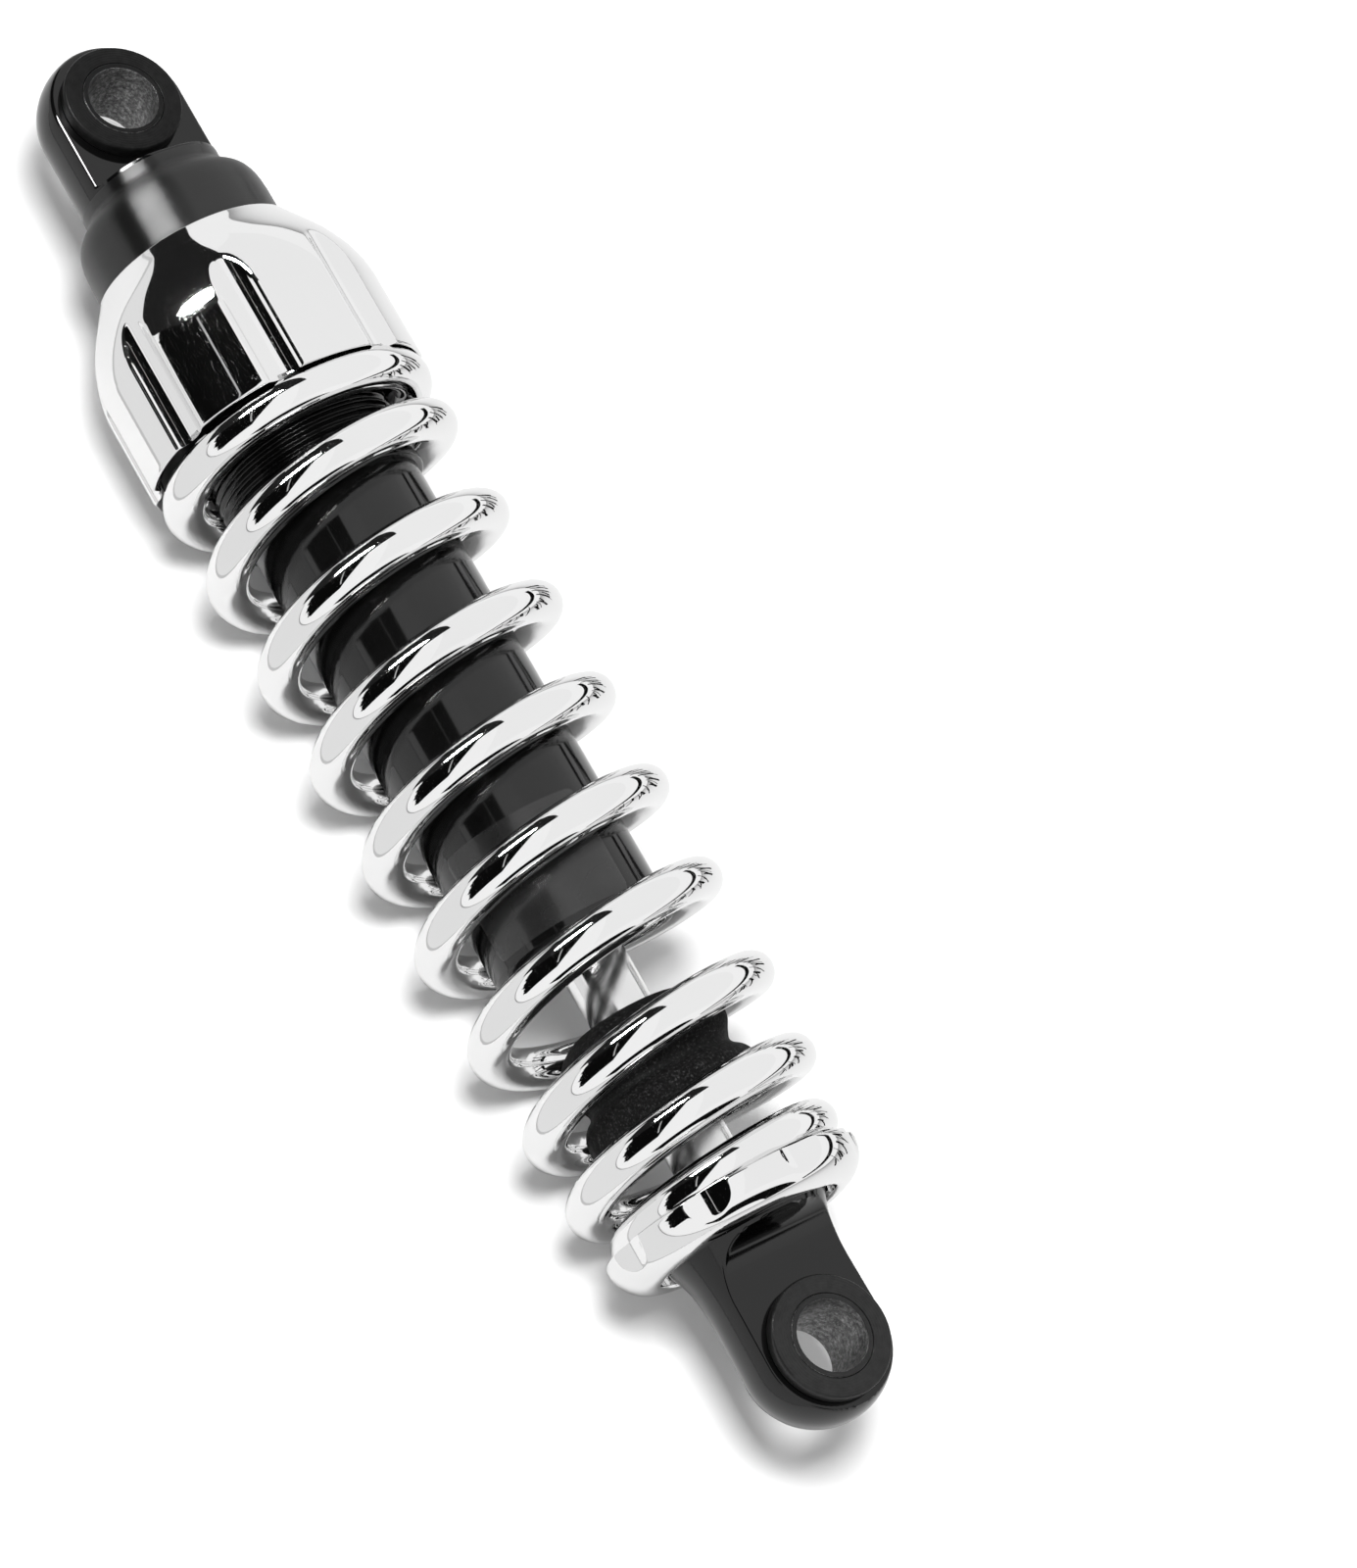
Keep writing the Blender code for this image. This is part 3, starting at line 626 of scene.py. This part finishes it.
def label():
    """A blank film with rounded corners, wrapped part of the way round the tube."""
    first, last = radians(75.5), radians(173)
    start, end, corner = 190.0, 215.5, 1.8
    under, over, rim = 0.05, 0.16, 0.09
    columns, rows = 72, 24
    verts, faces = [], []
    for layer in (under, over):
        for i in range(columns + 1):
            a = first + (last - first) * i / columns
            off = min(a - first, last - a) * TUBE_R
            inset = 0.0
            if off < corner:
                inset = corner - sqrt(max(0.0, corner ** 2 - (corner - off) ** 2))
            for j in range(rows + 1):
                x = start + inset + (end - start - 2 * inset) * j / rows
                inside = 0 < i < columns and 0 < j < rows
                r = TUBE_R + (layer if inside else min(layer, rim))
                verts.append((x, r * cos(a), r * sin(a)))

    def at(layer, i, j):
        return (layer * (columns + 1) + i) * (rows + 1) + j

    for i in range(columns):
        for j in range(rows):
            faces.append((at(0, i, j), at(0, i + 1, j), at(0, i + 1, j + 1), at(0, i, j + 1)))
            faces.append((at(1, i, j), at(1, i, j + 1), at(1, i + 1, j + 1), at(1, i + 1, j)))
        for j in (0, rows):
            faces.append((at(0, i, j), at(1, i, j), at(1, i + 1, j), at(0, i + 1, j)))
    for j in range(rows):
        for i in (0, columns):
            faces.append((at(0, i, j), at(0, i, j + 1), at(1, i, j + 1), at(1, i, j)))
    link("blank_label", verts, faces, LABEL, "damper_body",
         ("body_label",), 60)


# ---------------------------------------------------------------- preload cap
def preload_cap():
    """A domed cap, threaded on the sleeve, with flutes cut by a ball-ended tool."""
    dome_end, bore, counterbore = 63.0, 22.49, 24.6
    dome = through([(CAP_TOP + 0.35, 23.75), (42.3, 25.25), (44.4, 26.7), (47.0, 28.4),
                    (49.6, 30.0), (52.3, 31.3), (55.2, 32.45), (58.0, 33.2), (60.5, 33.65),
                    (dome_end, CAP_R)], 7)
    skirt = [(dome_end + 1.2 * k, CAP_R) for k in range(1, 17)]
    skirt += [(83.4, CAP_R), (83.9, CAP_R), (84.2, CAP_R - 0.08), (84.36, CAP_R - 0.25),
              (CAP_END, CAP_R - 0.5)]
    inner = [(CAP_END, 33.2), (83.3, 32.25), (82.3, 30.8), (81.0, 30.8), (81.0, counterbore),
             (60.0, counterbore), (60.0, bore), (CAP_TOP + 0.1, bore), (CAP_TOP, 22.6),
             (CAP_TOP, 22.85)]
    tool_r, depth, nose = 5.7, 2.35, 48.4

    def shape(x, r, a, k):
        if r > counterbore + 0.1:
            radius = tool_r
            if x < nose + tool_r:
                radius = sqrt(max(0.0, tool_r ** 2 - (nose + tool_r - x) ** 2))
            wall = tool_wall(CAP_R + tool_r - depth, radius, nearest(a, FLUTE_FIRST, FLUTES))
            r = soft_min(r, wall, 0.5)
        return x, r * cos(a), r * sin(a)

    verts, faces = revolve(eased(dome) + skirt + inner, FINE_SIDES, shape)
    link("preload_cap", verts, faces, CHROME, "adjuster",
         ("preload_adjuster",), 50)


# ---------------------------------------------------------------- spring
# Turns of the wire from COIL_PHASE, distance along the damper, coil radius
COIL = ((-0.12, 87.2, 28.9), (0.0, 87.3, 28.9), (0.25, 88.4, 28.9), (0.5, 90.5, 28.9),
        (0.75, 94.6, 28.9), (1.0, 99.8, 28.9), (1.5, 111.5, 28.9), (3.0, 147.5, 29.0),
        (5.0, 194.8, 29.0), (6.5, 229.9, 28.9), (7.0, 241.5, 28.5), (7.5, 252.2, 27.9),
        (8.0, 261.3, 27.3), (8.5, 269.4, 27.2), (9.0, 275.8, 24.2), (9.25, 278.7, 23.2),
        (9.5, 280.2, 22.6), (9.6, 280.3, 22.5))


def along_coil(t, column):
    """Monotone cubic through one column of the coil's stations, read at t turns."""
    n = len(COIL)
    h = [COIL[i + 1][0] - COIL[i][0] for i in range(n - 1)]
    d = [(COIL[i + 1][column] - COIL[i][column]) / h[i] for i in range(n - 1)]
    k = max(i for i in range(n - 1) if COIL[i][0] <= t + 1e-9)

    def slope(i):
        if i == 0:
            return d[0]
        if i == n - 1:
            return d[-1]
        if d[i - 1] * d[i] <= 0:
            return 0.0
        w1, w2 = 2 * h[i] + h[i - 1], h[i] + 2 * h[i - 1]
        return (w1 + w2) / (w1 / d[i - 1] + w2 / d[i])

    u = (t - COIL[k][0]) / h[k]
    a, b = COIL[k][column], COIL[k + 1][column]
    m0, m1 = slope(k) * h[k], slope(k + 1) * h[k]
    return ((2 * u ** 3 - 3 * u ** 2 + 1) * a + (u ** 3 - 2 * u ** 2 + u) * m0
            + (3 * u ** 2 - 2 * u ** 3) * b + (u ** 3 - u ** 2) * m1)


def coil_point(t):
    r, a = along_coil(t, 2), COIL_PHASE + tau * t
    return Vector((along_coil(t, 1), r * cos(a), r * sin(a)))


def coil(name, start, end, free_start, free_end):
    """Round wire along the coil from turn start to turn end, with a chamfer on a free end."""
    sides, per_turn, chamfer, chamfer_turns = 36, 110, 0.5, 0.003
    count = round((end - start) * per_turn)
    turns = [start + (end - start) * k / count for k in range(count + 1)]
    rings = [(t, WIRE_R) for t in turns]
    if free_start:
        rings[0] = (turns[0], WIRE_R - chamfer)
        rings.insert(1, (turns[0] + chamfer_turns, WIRE_R))
    if free_end:
        rings[-1] = (turns[-1], WIRE_R - chamfer)
        rings.insert(-1, (turns[-1] - chamfer_turns, WIRE_R))
    verts, faces = [], []
    for t, r in rings:
        p = coil_point(t)
        low, high = max(COIL[0][0], t - 0.004), min(COIL[-1][0], t + 0.004)
        along = (coil_point(high) - coil_point(low)).normalized()
        out = Vector((0.0, p.y, p.z)).normalized()
        side = along.cross(out).normalized()
        out = side.cross(along).normalized()
        for i in range(sides):
            a = tau * i / sides
            verts.append(p + r * (cos(a) * out + sin(a) * side))
    for k in range(len(rings) - 1):
        here, ahead = k * sides, (k + 1) * sides
        for i in range(sides):
            j = (i + 1) % sides
            faces.append((here + i, here + j, ahead + j, ahead + i))
    faces.append(tuple(range(sides)))
    faces.append(tuple(len(verts) - 1 - i for i in range(sides)))
    return link(name, verts, faces, SPRING_CHROME, None, ("coil_spring",), 40)


def spring():
    """Two pieces of one coil, since a piece can blend between two bodies only."""
    split = along_coil(SPLIT_TURN, 1)
    upper = coil("spring_upper", COIL[0][0], SPLIT_TURN, True, False)
    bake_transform(upper)
    lower = coil("spring_lower", SPLIT_TURN, COIL[-1][0], False, True)
    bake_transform(lower)


# ---------------------------------------------------------------- rod end
def bump_stop():
    """Rubber stop with a waist, a little uneven round its rim."""
    outer = through([(STOP_TOP, 11.5), (237.0, 14.0), (239.3, 17.0), (243.0, 19.2), (246.5, 19.25),
                     (249.0, 18.0), (251.0, 17.1), (252.5, 17.6), (254.0, 19.3), (256.0, 20.3),
                     (259.5, 20.4), (261.0, 19.8), (STOP_FOOT, 18.6)], 7)
    stations = [(STOP_FOOT, ROD_R + 0.1), (STOP_TOP, ROD_R + 0.1)] + outer

    def shape(x, r, a, k):
        if r > 16:
            r += 0.12 * sin(3 * a + x * 0.35) + 0.08 * sin(7 * a - x * 0.6)
        return x, r * cos(a), r * sin(a)

    verts, faces = revolve(stations, 128, shape)
    obj = link("rubber_bump_stop", verts, faces, RUBBER, "bump_stop_body",
               ("bump_stop",), 50)
    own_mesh(obj)


def perch():
    """The cup that holds the spring's lower end, notched by a large round tool."""
    inner_r, hole_r, floor_x, dome_x, dome_r = 27.55, 17.0, 285.2, 282.2, 22.3
    outline = [(PERCH_RIM, inner_r + 0.25), (PERCH_RIM, PERCH_R - 0.7),
               (PERCH_RIM + 0.1, PERCH_R - 0.3), (PERCH_RIM + 0.4, PERCH_R - 0.05)]
    for k in range(25):
        a = radians(90 - 3.75 * k)
        outline.append((dome_x + 8.0 * cos(a), dome_r + (PERCH_R - dome_r) * sin(a)))
    outline += [(290.15, 21.8), (290.05, 21.45), (289.7, 21.25), (289.2, 21.2), (287.55, 21.2),
                (287.5, 21.0), (287.5, hole_r), (floor_x, hole_r), (floor_x, 27.0), (284.8, 27.5),
                (PERCH_RIM + 0.3, inner_r), (PERCH_RIM + 0.05, 27.62)]
    tool_r, depth = 14.0, 1.5

    def shape(x, r, a, k):
        if r > inner_r + 0.25:
            wall = tool_wall(PERCH_R + tool_r - depth, tool_r, nearest(a, NOTCH_FIRST, NOTCHES))
            r = soft_min(r, wall, 0.15)
        return x, r * cos(a), r * sin(a)

    verts, faces = revolve(outline, FINE_SIDES, shape)
    link("spring_perch", verts, faces, CHROME, "rod_assembly",
         ("lower_perch",), 50)


def rod():
    """The rod between its piston stud and its threaded lower end."""
    top, shaft_from, shaft_to, bottom = 162.8, 187.8, 284.7, 296.4
    stud_r, thread_r = 5.0, 6.1
    corners = [(top, 0, 0), (top, stud_r, 0.5), (shaft_from, stud_r, 0), (shaft_from, ROD_R, 0.3),
               (shaft_to, ROD_R, 0.2), (shaft_to, thread_r, 0), (bottom, thread_r, 0.3),
               (bottom, 0, 0)]
    turned("damper_rod", corners, ROD_CHROME, "rod_assembly",
           ("piston_rod",), 96, 4)


upper_head()
lower_eye()
eye_fittings("upper", 0.0, "damper_body", UPPER_BUSH_SHADED)
eye_fittings("lower", EYE_TO_EYE, "rod_assembly", LOWER_BUSH)
threaded_sleeve()
clip_and_tube()
label()
preload_cap()
spring()
bump_stop()
perch()
rod()

# ---------------------------------------------------------------- CAD pieces that stay
KEPT = {
    ALLOY: ("rod_guide", "gas_piston", "piston"),
    STEEL: ("guide_circlip", "gas_valve", "piston_nut", "rod_lock_nut", "rebound_shims",
            "compression_shims", "shim_washer"),
    SEAL: ("guide_o_ring", "rod_seal", "rod_wiper", "gas_piston_seal", "top_out_bumper"),
    PTFE: ("spring_seat_ring", "piston_band"),
}
for mat, names in KEPT.items():
    for name in names:
        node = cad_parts[name]
        for slot in node.material_slots:
            slot.link = "OBJECT"
            slot.material = mat

# ---------------------------------------------------------------- floor, light and camera
# From here on, lengths are in metres.
FLOOR_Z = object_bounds()[0][2] - 0.0002
FLOOR_HALF = 3.0


def staged(name, verts, faces, mat):
    """Part of the studio: it isn't part of the object."""
    mesh = bpy.data.meshes.new(name)
    mesh.from_pydata(verts, [], faces)
    mesh.materials.append(mat)
    obj = bpy.data.objects.new(name, mesh)
    bpy.context.scene.collection.objects.link(obj)
    return obj


def plane(name, centre, across, up, mat):
    """A flat sheet: across and up are half its two sides."""
    c, a, u = Vector(centre), Vector(across), Vector(up)
    return staged(name, [c - a - u, c + a - u, c + a + u, c - a + u], [(0, 1, 2, 3)], mat)


# The paper is darker where the object reflects it.
FLOOR = finish("floor_paper", (0.9, 0.9, 0.9), 0.0, 0.9, specular=0.0)
rays = FLOOR.node_tree.nodes.new("ShaderNodeLightPath")
colour_from(FLOOR, ramp(FLOOR, rays.outputs["Is Glossy Ray"], [(0.0, 0.9), (1.0, 0.66)]))
plane("floor", (0.16, 0.0, FLOOR_Z), (FLOOR_HALF, 0, 0), (0, FLOOR_HALF, 0), FLOOR)

# The world lights the object at half the strength that it shows.
world = bpy.data.worlds.new("studio")
bpy.context.scene.world = world
world.use_nodes = True
sky = world.node_tree
backdrop = sky.nodes["Background"]
backdrop.inputs["Color"].default_value = (1, 1, 1, 1)
rays = sky.nodes.new("ShaderNodeLightPath")
level = sky.nodes.new("ShaderNodeMapRange")
level.inputs["To Min"].default_value = 1.0
level.inputs["To Max"].default_value = 0.5
sky.links.new(rays.outputs["Is Diffuse Ray"], level.inputs["Value"])
sky.links.new(level.outputs["Result"], backdrop.inputs["Strength"])


def patch(name, reach, span, low, high, tone, ragged=0.0):
    """Part of a sphere of radius reach about the object's middle, seen only in reflections.

    span is its two limits in degrees from the upright plane across the damper, towards +X. low and
    high are its limits about the damper's axis, in degrees from +Y over the top, each as (at the
    first limit, at the second). ragged is how far its high edge strays, in degrees."""
    middle = Vector((EYE_TO_EYE * MM / 2, 0, 0))
    rows, columns = 120 if ragged else 24, 24
    verts, faces = [], []
    for i in range(rows + 1):
        t = i / rows
        tilt = radians(span[0] + (span[1] - span[0]) * t)
        first = low[0] + (low[1] - low[0]) * t
        last = high[0] + (high[1] - high[0]) * t
        last += ragged * (sin(29 * t) + 0.7 * sin(61 * t + 1) + 0.5 * sin(139 * t + 2))
        for j in range(columns + 1):
            a = radians(first + (last - first) * j / columns)
            out = Vector((sin(tilt), cos(tilt) * cos(a), cos(tilt) * sin(a)))
            verts.append(middle + reach * out)
    for i in range(rows):
        for j in range(columns):
            k = i * (columns + 1) + j
            faces.append((k, k + 1, k + columns + 2, k + columns + 1))
    only_reflected(staged(name, verts, faces, glow(name, tone)))


def card(name, centre, outward, across, width, height, tone, oval=False):
    """A flat card seen only in reflections, square to outward, with its width along across."""
    out = Vector(outward).normalized()
    side = Vector(across)
    side = (side - out * side.dot(out)).normalized()
    rise = out.cross(side)
    side, rise = side * width / 2, rise * height / 2
    if oval:
        angles = [tau * k / 48 for k in range(48)]
        verts = [Vector(centre) + side * cos(a) + rise * sin(a) for a in angles]
        only_reflected(staged(name, verts, [tuple(range(48))], glow(name, tone)))
    else:
        only_reflected(plane(name, centre, side, rise, glow(name, tone)))


def glow(name, tone):
    """Even light of one strength, whatever falls on it."""
    mat = bpy.data.materials.new(name)
    mat.use_nodes = True
    mat.node_tree.nodes.clear()
    light = mat.node_tree.nodes.new("ShaderNodeEmission")
    light.inputs["Color"].default_value = (1, 1, 1, 1)
    light.inputs["Strength"].default_value = tone
    out = mat.node_tree.nodes.new("ShaderNodeOutputMaterial")
    mat.node_tree.links.new(light.outputs[0], out.inputs[0])
    return mat


def only_reflected(obj):
    obj.visible_camera = False
    obj.visible_diffuse = False
    obj.visible_shadow = False


def area(name, place, size, power):
    light = bpy.data.lights.new(name, "AREA")
    light.shape = "RECTANGLE"
    light.size, light.size_y = size
    light.energy = power
    obj = bpy.data.objects.new(name, light)
    obj.location = place
    aim = Vector((0.16, 0, 0)) - Vector(place)
    obj.rotation_euler = aim.to_track_quat("-Z", "Y").to_euler()
    bpy.context.scene.collection.objects.link(obj)
    return obj


key = area("key", (0.17, -0.27, 1.03), (0.32, 0.32), 13.5)
key.visible_glossy = False
patch("dark_room", 1.2, span=(-70, 24), low=(96, 140), high=(172, 172), tone=0.003, ragged=0.9)
patch("light_gap", 1.15, span=(-27, 10), low=(136.2, 138.2), high=(137.6, 139.6), tone=0.5)
patch("pale_box", 1.3, span=(-72, 48), low=(24, 30), high=(92, 104), tone=0.95)
patch("dark_end", 0.8, span=(63, 78), low=(10, 10), high=(160, 160), tone=0.004)
patch("dark_side", 0.7, span=(-25, 60), low=(9, 9), high=(14, 14), tone=0.004)
card("dark_wall", (-0.22, -0.24, 0.26), outward=(-1, 0, 0), across=(0, 1, 0),
     width=0.50, height=0.60, tone=0.014)
card("flash", (-0.14, -0.19, 0.235), outward=(-0.61, -0.52, 0.59), across=(-0.16, 0.70, 0.68),
     width=0.22, height=0.07, tone=60.0, oval=True)
card("far_paper", (0.16, -0.662, FLOOR_Z + 0.002), outward=(0, 0, -1), across=(1, 0, 0),
     width=2.6, height=1.2, tone=0.84)
card("paper_edge", (0.16, -0.060, FLOOR_Z + 0.002), outward=(0, 0, -1), across=(1, 0, 0),
     width=2.6, height=0.004, tone=0.6)
for k in range(26):
    # A row of dark uneven bars at the object's far side
    x = 0.05 + 0.0132 * k + 0.003 * sin(5.1 * k + 1.0)
    z = FLOOR_Z + 0.036 + 0.012 * sin(3.7 * k)
    lean = 0.5 + 0.25 * sin(2.3 * k)
    card(f"side_bar_{k}", (x, 0.17, z), outward=(0, 1, 0), across=(1, 0, lean),
         width=0.0055 + 0.0035 * sin(4.3 * k + 2.0),
         height=0.052 + 0.016 * sin(1.9 * k), tone=0.003)


def camera():
    """Looks down across the damper from its -Y side, rolled so that it runs down the picture."""
    turn, rise, roll, distance = 0.422, 0.972, 0.688, 1.008139
    back = Vector((cos(rise) * sin(turn), -cos(rise) * cos(turn), sin(rise)))
    right0 = Vector((0, 0, 1)).cross(back).normalized()
    up0 = back.cross(right0)
    right = cos(roll) * right0 + sin(roll) * up0
    up = cos(roll) * up0 - sin(roll) * right0
    target = Vector((0.192636, 0.041236, 0.0))
    place = target + back * distance
    data = bpy.data.cameras.new("camera")
    data.sensor_fit = "AUTO"
    data.sensor_width = 36
    data.lens = 105.43
    data.clip_start = 0.01
    obj = bpy.data.objects.new("camera", data)
    obj.matrix_world = Matrix((
        (right.x, up.x, back.x, place.x),
        (right.y, up.y, back.y, place.y),
        (right.z, up.z, back.z, place.z),
        (0, 0, 0, 1),
    ))
    bpy.context.scene.collection.objects.link(obj)
    bpy.context.scene.camera = obj


camera()
bpy.context.scene.view_settings.view_transform = "Standard"
bpy.context.scene.view_settings.look = "None"
